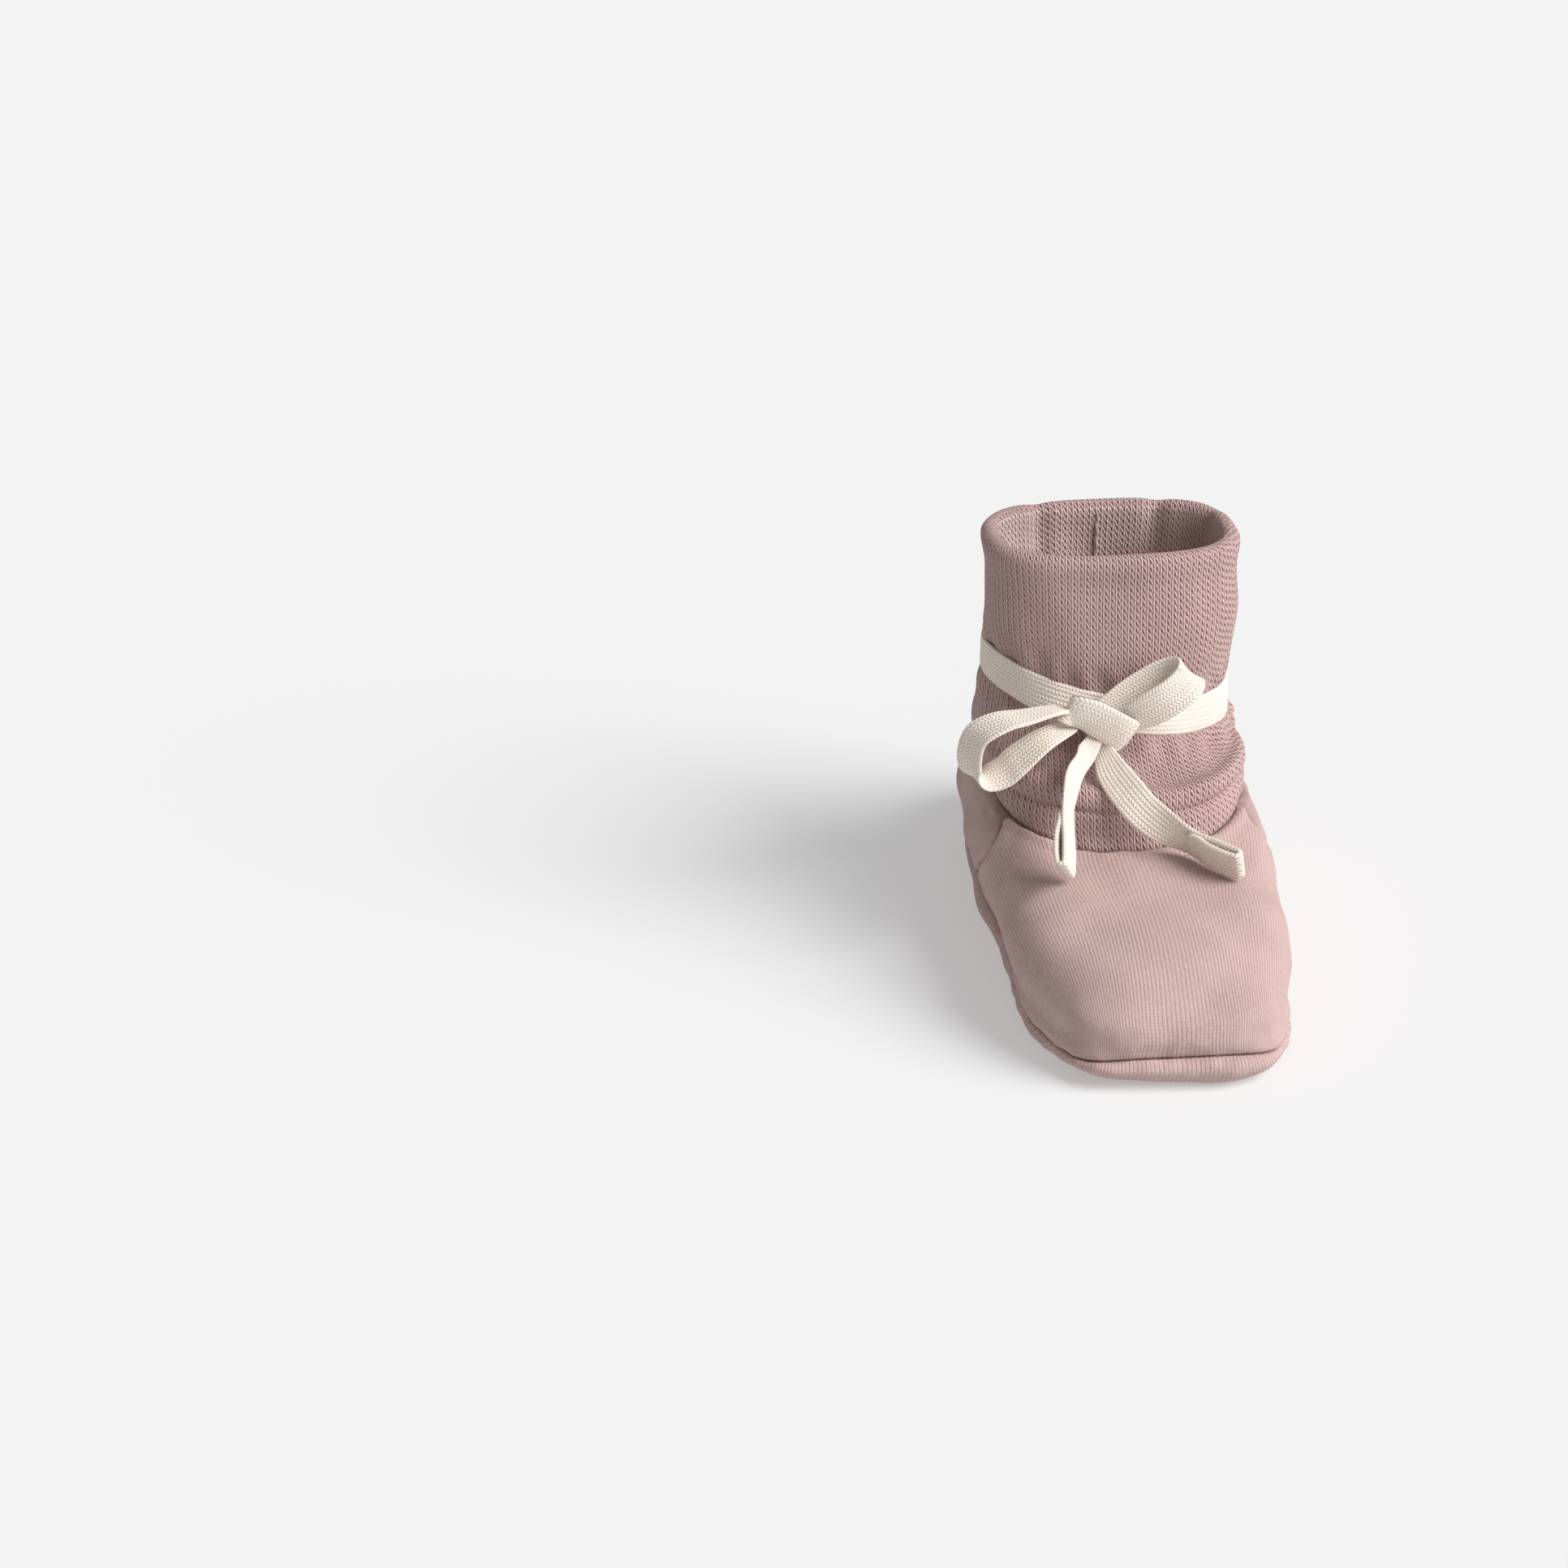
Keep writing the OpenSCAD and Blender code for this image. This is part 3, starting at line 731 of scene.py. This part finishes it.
def strip(centre, across, thick=TAPE, ring=False, camber=0.0):
    """A woven tape round a line: rows run over its face and back under it."""
    thick = np.broadcast_to(thick, len(centre))[None, :, None]
    ahead, behind = np.roll(centre, -1, 0), np.roll(centre, 1, 0)
    if not ring:
        ahead[-1], behind[0] = centre[-1], centre[0]
    run = unit(ahead - behind)
    half = np.linalg.norm(across, axis=-1, keepdims=True)
    side = unit(across - run * (across * run).sum(-1, keepdims=True))
    face = np.cross(run, side)
    length = np.cumsum(np.linalg.norm(centre - behind, axis=-1))
    length = length - length[0]
    a = np.linspace(-1, 1, ACROSS + 1)[:, None, None]
    scallop = 1 + 0.012 * np.sin(2 * math.pi * length / PICK)[None, :, None] * np.abs(a) ** 3
    swell = np.sqrt(1 - np.abs(a) ** 10) * (0.86 + 0.14 * np.abs(np.sin(math.pi * LANES * (a + 1) / 2)))
    base = centre[None] + side[None] * half[None] * a * scallop + face[None] * camber * (1 - a * a)
    top = base + face[None] * swell * thick / 2
    under = base - face[None] * swell * thick / 2
    points = np.concatenate([top, under[::-1]])
    x = np.broadcast_to((a[..., 0] + 1) * TAPE_W / 2, top.shape[:2])
    y = np.broadcast_to(length, top.shape[:2])
    weave = np.stack([x, y], -1)
    if ring:
        closing = np.stack([x[:, 0], y[:, -1] + PICK], -1)[:, None]
        weave = np.concatenate([weave, closing], axis=1)
    return shell(points, doubled(weave), ring)


def route(rows, step=0.3):
    """Even steps along the smooth line through rows of (place, direction across, share of width)."""
    places = scaled([r[0] for r in rows])
    ways = unit(np.array([r[1] for r in rows], float))
    shares = np.array([[r[2]] for r in rows], float)
    table = np.hstack([places, ways, shares])
    fine = along(table, np.linspace(0, len(rows) - 1, 40 * len(rows)))
    length = np.concatenate([[0], np.cumsum(np.linalg.norm(np.diff(fine[:, :3], axis=0), axis=1))])
    even = np.linspace(0, length[-1], max(int(length[-1] / step), 8))
    fine = np.stack([np.interp(even, length, fine[:, k]) for k in range(7)], 1)
    return fine[:, :3], unit(fine[:, 3:6]) * fine[:, 6:] * TAPE_W / 2


def make_band():
    """The tape round the ankle, which follows the squeezed knit under it."""
    u = np.linspace(-180, 180, 760, endpoint=False)
    t = np.full(u.shape, float(T_TIE))
    centre, _ = cloth(t, u, -BAND_LIFT - TAPE / 2)
    across = unit(cloth(t + 0.1, u, 0)[0] - cloth(t - 0.1, u, 0)[0]) * TAPE_W / 2
    build("tie_band", *strip(centre, across, ring=True), tape, "foot", "tape", ["tie_band"])


# Routes of the tape: place in mm, direction across the tape, share of its full width
LEFT_LOOP = [
    [[-9.8, -1.1, 42.1], [0.0, -1.0, 0.3], 0.55],
    [[-12.6, -2.7, 42.7], [0.0, -1.0, 0.1], 0.75],
    [[-17.3, -4.1, 42.4], [0.3, -1.0, 0.0], 0.95],
    [[-21.7, -4.8, 41.9], [0.45, -1.0, -0.1], 1.0],
    [[-25.5, -4.8, 39.9], [0.5, -1.0, -0.15], 1.0],
    [[-26.8, -4.8, 36.6], [0.65, -1.0, 0.0], 1.0],
    [[-26.5, -4.9, 33.2], [0.6, -1.0, -0.1], 1.0],
    [[-24.3, -5.1, 32.0], [0.5, -1.0, -0.25], 1.0],
    [[-21.2, -5.3, 33.1], [0.4, -1.0, -0.6], 1.0],
    [[-18.9, -5.3, 35.2], [0.35, -1.0, -0.7], 1.0],
    [[-14.5, -4.7, 38.4], [0.4, -1.0, -0.45], 0.82],
    [[-9.2, -2.3, 39.7], [0.2, -1.0, -0.4], 0.5]]
RIGHT_LOOP = [
    [[-7.0, -1.4, 40.6], [0.6, -0.2, -0.7], 0.4],
    [[-4.0, -0.9, 42.0], [0.7, -0.2, -0.7], 0.5],
    [[-0.6, -0.4, 43.4], [0.7, -0.2, -0.7], 0.8],
    [[2.8, -0.3, 45.0], [0.75, -0.25, -0.6], 0.97],
    [[6.4, -0.5, 47.0], [0.75, -0.25, -0.6], 1.0],
    [[9.0, -1.4, 48.2], [0.75, -0.25, -0.6], 1.0],
    [[10.1, -3.0, 48.2], [0.75, -0.25, -0.6], 1.0],
    [[9.2, -4.5, 47.0], [0.75, -0.25, -0.6], 1.0],
    [[6.8, -5.2, 45.3], [0.7, -0.2, -0.65], 1.0],
    [[4.0, -5.0, 43.5], [0.65, -0.2, -0.7], 1.0],
    [[1.2, -4.2, 41.7], [0.6, -0.2, -0.7], 0.85],
    [[-1.4, -3.2, 40.1], [0.6, -0.2, -0.7], 0.6],
    [[-4.2, -2.4, 38.6], [0.6, -0.2, -0.7], 0.4]]
KNOT_WRAP = [
    [[-7.6, -0.9, 40.8], [0.66, 0.0, 0.75], 0.6],
    [[-9.5, -1.5, 41.7], [0.66, 0.0, 0.75], 0.7],
    [[-10.0, -2.6, 42.4], [0.66, -0.1, 0.74], 0.8],
    [[-8.5, -3.4, 42.5], [0.62, -0.1, 0.78], 0.92],
    [[-6.2, -3.9, 41.8], [0.6, -0.1, 0.78], 1.0],
    [[-3.8, -4.5, 40.5], [0.58, -0.1, 0.8], 1.05],
    [[-1.8, -4.8, 39.3], [0.56, -0.1, 0.82], 1.08],
    [[-0.5, -4.4, 38.3], [0.6, 0.0, 0.8], 1.06],
    [[-0.6, -3.1, 37.6], [0.65, 0.1, 0.7], 0.95],
    [[-2.2, -1.9, 38.2], [0.7, 0.1, 0.6], 0.8]]
LEFT_TAIL = [
    [[-4.0, -2.4, 38.8], [-0.8, 0.1, -0.2], 0.4],
    [[-6.2, -4.4, 37.2], [-0.8, -0.3, -0.1], 0.5],
    [[-8.8, -8.8, 35.7], [-0.5, -0.7, 0.35], 0.75],
    [[-11.0, -13.4, 34.6], [-0.45, -0.72, 0.45], 1.0],
    [[-12.2, -17.0, 33.0], [-0.4, -0.75, 0.5], 1.0]]
LEFT_HEM = [[-12.8, -20.0, 30.3], [-13.6, -26.6, 25.2]]
RIGHT_TAIL = [
    [[-5.0, -2.4, 38.4], [0.9, -0.5, 0.3], 0.45],
    [[-4.3, -4.4, 35.7], [0.9, -0.5, 0.3], 0.6],
    [[-3.4, -8.8, 33.8], [0.9, -0.3, 0.4], 0.9],
    [[-1.5, -12.8, 31.8], [0.85, -0.1, 0.5], 1.0],
    [[0.7, -15.6, 29.7], [0.8, 0.1, 0.55], 1.0],
    [[3.4, -17.8, 28.0], [0.6, -0.1, 0.75], 1.0],
    [[6.1, -19.2, 26.7], [0.3, -0.4, 0.85], 1.0]]
RIGHT_HEM = [[8.85, -20.4, 25.7], [15.1, -26.2, 24.9]]


def make_loop(name, rows, body):
    centre, across = route(rows)
    piece = build(name, *strip(centre, across), tape, body, "tape", [name])
    declare_cord(centre)


def declare_cord(centre):
    """Turns the middle line of a free stretch of tape into metres; nothing further is done with it."""
    path = centre * MM


HEM_RISE = 1.3          # between the middles of the two layers of a hem
HEM_EXTRA = 0.25        # the tape is this much thicker in its hem
STITCHES, FRAYS = 7, 26 # threads in one hem


def hem_frame(hem, across):
    """Start, length, and the directions along, across and out of a tail's folded end."""
    start, end = np.array(hem[0]), np.array(hem[1])
    way = unit(end - start)
    across = np.array(across, float)
    across = unit(across - way * (across @ way))
    return start, np.linalg.norm(end - start), way, across, np.cross(way, across)


def hem_rows(hem, across):
    """The tape runs on to the end of the tail, turns over itself and comes back to the stitches."""
    start, length, way, across, up = hem_frame(hem, across)
    rise, r = HEM_RISE, HEM_RISE / 2
    layout = [(0.0, 0.0), (0.25, -0.05), (0.5, -0.1), (0.72, -0.05)]
    rows = [[start + way * length * f + up * h, across, 1.0] for f, h in layout]
    for turn in np.radians([-60, 0, 60]):
        place = start + way * (length - r) + up * r + r * (np.cos(turn) * way + np.sin(turn) * up)
        rows.append([place, across, 1.0])
    for f, h in [(0.72, rise + 0.15), (0.5, rise + 0.1), (0.3, rise - 0.1), (0.1, rise - 0.55),
                 (-0.12, rise - 0.75)]:
        rows.append([start + way * length * f + up * h, across, 1.0 - 0.1 * (f < 0)])
    return rows


def make_tail(side, tail, hem, across, body):
    """A tail with its folded end and the stitches in it."""
    centre, ways = route(tail + hem_rows(hem, across))
    name = "tail_" + side
    to_hem = np.linalg.norm(centre - scaled(hem[0]), axis=1).argmin()
    thick = TAPE + HEM_EXTRA * smooth(to_hem - 12, to_hem + 6, np.arange(len(centre)))
    piece = build(name, *strip(centre, ways, thick), tape, body, "tape", [name])
    stitches = make_hem_stitches(side, hem, across, body)
    declare_cord(centre)


def make_hem_stitches(side, hem, across, body):
    """A row of stitches across the hem, and the loose ends that fray from it."""
    start, length, way, wide, up = hem_frame(hem, across)
    rng = np.random.default_rng(5 if side == "left" else 6)
    parts = []
    for a in np.linspace(-2.4, 2.4, STITCHES):
        s = np.linspace(-0.34, 0.34, 8)[:, None]
        middle = start + way * length * 0.12 + wide * a + up * (HEM_RISE - 0.1)
        path = scaled(middle + wide * s + up * (0.1 - 1.6 * s * s))
        parts.append(tube(path, 0.15, up, around=8, twist=2.5))
    for _ in range(FRAYS):
        a = rng.uniform(-2.9, 2.9)
        bend = rng.normal(size=3) * 0.5
        s = np.linspace(0, 1, 12)[:, None]
        root = start - way * rng.uniform(0.5, 1.0) + wide * a + up * (HEM_RISE - 0.7)
        path = scaled(root + (-way * rng.uniform(0.5, 1.4) + bend) * s + bend[::-1] * s * s * 0.8)
        parts.append(tube(path, 0.075 * (1 - 0.6 * s[:, 0]), wide + 0.01, around=6))
    name = "hem_stitch_" + side
    return build(name, *joined(parts), tape_thread, body, "tape_thread", [name])


def make_knot():
    """The tape that wraps the knot, over the bundle of tape inside it."""
    centre, across = route(KNOT_WRAP, 0.25)
    wrap = strip(centre, across, camber=0.4)
    half_length, half_width, half_depth = 5.6, 3.0, 2.0
    middle, long_way = scaled([-4.2, -1.2, 39.2]), unit(np.array([0.8, -0.12, -0.56]))
    wide = unit(np.cross(long_way, [0.0, -1.0, 0.0]))
    deep = np.cross(wide, long_way)
    u = np.linspace(0, 2 * math.pi, 60, endpoint=False)[:, None]
    v = np.linspace(0.04, math.pi - 0.04, 50)[None, :]
    crumple = 1 + 0.05 * np.sin(5 * u + 2 * v)
    bundle = (middle + (np.cos(v) * half_length * crumple)[..., None] * long_way
              + (np.sin(v) * np.cos(u) * half_width * crumple)[..., None] * wide
              + (np.sin(v) * np.sin(u) * half_depth * crumple)[..., None] * deep)
    weave = np.stack(np.broadcast_arrays(u * half_width, half_length * v), -1)
    core = shell(bundle, weave, False)
    build("tie_knot", *joined([wrap, core]), tape, "foot", "tape", ["tie_knot"])


def make_tack():
    """Zigzag stitches that hold the tape to the cuff at the heel."""
    low, high = (np.array(c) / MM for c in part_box("tie_tack"))
    strokes = 26
    samples = strokes * 6
    x = np.linspace(low[0], high[0], samples)
    phase = np.linspace(0, strokes, samples) % 2
    z = low[2] + (high[2] - low[2]) * np.abs(phase - 1)
    y = np.full(x.shape, low[1] + 0.05) + 0.15 * np.sin(math.pi * np.abs(phase - 1))
    mesh = tube(np.stack([x, y, z], -1), 0.16, np.array([0.0, 1.0, 0.02]), around=8, twist=2.5)
    build("tie_tack", *mesh, tape_thread, "foot", "tape_thread", ["tie_tack"])


def make_motif():
    """A small heart in satin stitch on the sole."""
    low, high = (np.array(c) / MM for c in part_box("sole_motif"))
    middle, half = (low + high) / 2, (high - low) / 2
    parts = []
    for x in np.arange(-0.94, 0.95, 0.09):
        top = 0.42 + 0.55 * math.sqrt(max(1 - (2 * abs(x) - 1) ** 2, 0))
        bottom = -1 + 1.28 * abs(x) ** 1.15
        s = np.linspace(0, 1, 14)[:, None]
        y = bottom + (top - bottom) * s
        lift = -0.16 * np.sin(math.pi * s)
        path = middle + np.hstack([0 * s + x * half[0], y * half[1], lift + 0.2])
        parts.append(tube(path, 0.15, np.array([1.0, 0.0, 0.0]), around=8, twist=2.2))
    build("sole_motif", *joined(parts), tape_thread, "foot", "tape_thread", ["sole_motif"])


make_band()
make_knot()
make_tack()
make_motif()

# ---- Camera and light -------------------------------------------------------------------------

def make_camera():
    """Looks down at the toe from slightly to its left, with the object right of the middle."""
    azimuth, elevation, distance = math.radians(-6), math.radians(25), 0.650
    back = np.array([math.sin(azimuth) * math.cos(elevation),
                     -math.cos(azimuth) * math.cos(elevation), math.sin(elevation)])
    right = np.array([math.cos(azimuth), math.sin(azimuth), 0])
    up = np.cross(back, right)
    rim_middle = np.array([0, 0.0197, foot_high[2]])
    rim_aside, rim_above = 0.0546, 0.0430       # of the rim from the middle of the picture
    place = rim_middle - (right * rim_aside + up * rim_above - back * distance)
    data = bpy.data.cameras.new("camera")
    data.lens, data.sensor_width = 89.0, 36.0
    data.clip_start = 0.01
    camera = bpy.data.objects.new("camera", data)
    bpy.context.scene.collection.objects.link(camera)
    camera.location = place
    camera.rotation_euler = (math.pi / 2 - elevation, 0, azimuth)
    bpy.context.scene.camera = camera


def make_light():
    """White surroundings, a wide sun from the right and a weak one from the front."""
    world = bpy.data.worlds.new("world")
    bpy.context.scene.world = world
    world.use_nodes = True
    background = world.node_tree.nodes["Background"]
    background.inputs["Color"].default_value = (1, 1, 1, 1)
    background.inputs["Strength"].default_value = 0.27
    for name, azimuth, elevation, spread, strength in (
            ("key", 64, 40, 42, 3.9), ("fill", 0, 50, 80, 0.25)):
        data = bpy.data.lights.new(name, "SUN")
        data.angle = math.radians(spread)
        data.energy = strength
        sun = bpy.data.objects.new(name, data)
        bpy.context.scene.collection.objects.link(sun)
        sun.rotation_euler = (math.radians(90 - elevation), 0, math.radians(azimuth))


def make_floor():
    """A plain floor that glows a little, so that the shadow on it stays pale."""
    half = 6.0
    mesh = bpy.data.meshes.new("floor")
    mesh.from_pydata([(-half, -half, 0), (half, -half, 0), (half, half, 0), (-half, half, 0)],
                     [], [(0, 1, 2, 3)])
    floor = bpy.data.objects.new("floor", mesh)
    bpy.context.scene.collection.objects.link(floor)
    material = bpy.data.materials.new("floor")
    material.use_nodes = True
    shader = material.node_tree.nodes["Principled BSDF"]
    shader.inputs["Base Color"].default_value = (0.5, 0.5, 0.5, 1)
    shader.inputs["Emission Color"].default_value = (1, 1, 1, 1)
    shader.inputs["Emission Strength"].default_value = 0.33
    shader.inputs["Roughness"].default_value = 1.0
    shader.inputs["Specular IOR Level"].default_value = 0.0
    mesh.materials.append(material)


make_camera()
make_loop("loop_left", LEFT_LOOP, "bow_loop_left")
make_loop("loop_right", RIGHT_LOOP, "bow_loop_right")
make_tail("left", LEFT_TAIL, LEFT_HEM, [-0.4, -0.75, 0.53], "bow_tail_left")
make_tail("right", RIGHT_TAIL, RIGHT_HEM, [0.12, -0.61, 0.79], "bow_tail_right")
make_light()
make_floor()
bpy.context.scene.view_settings.view_transform = "Standard"
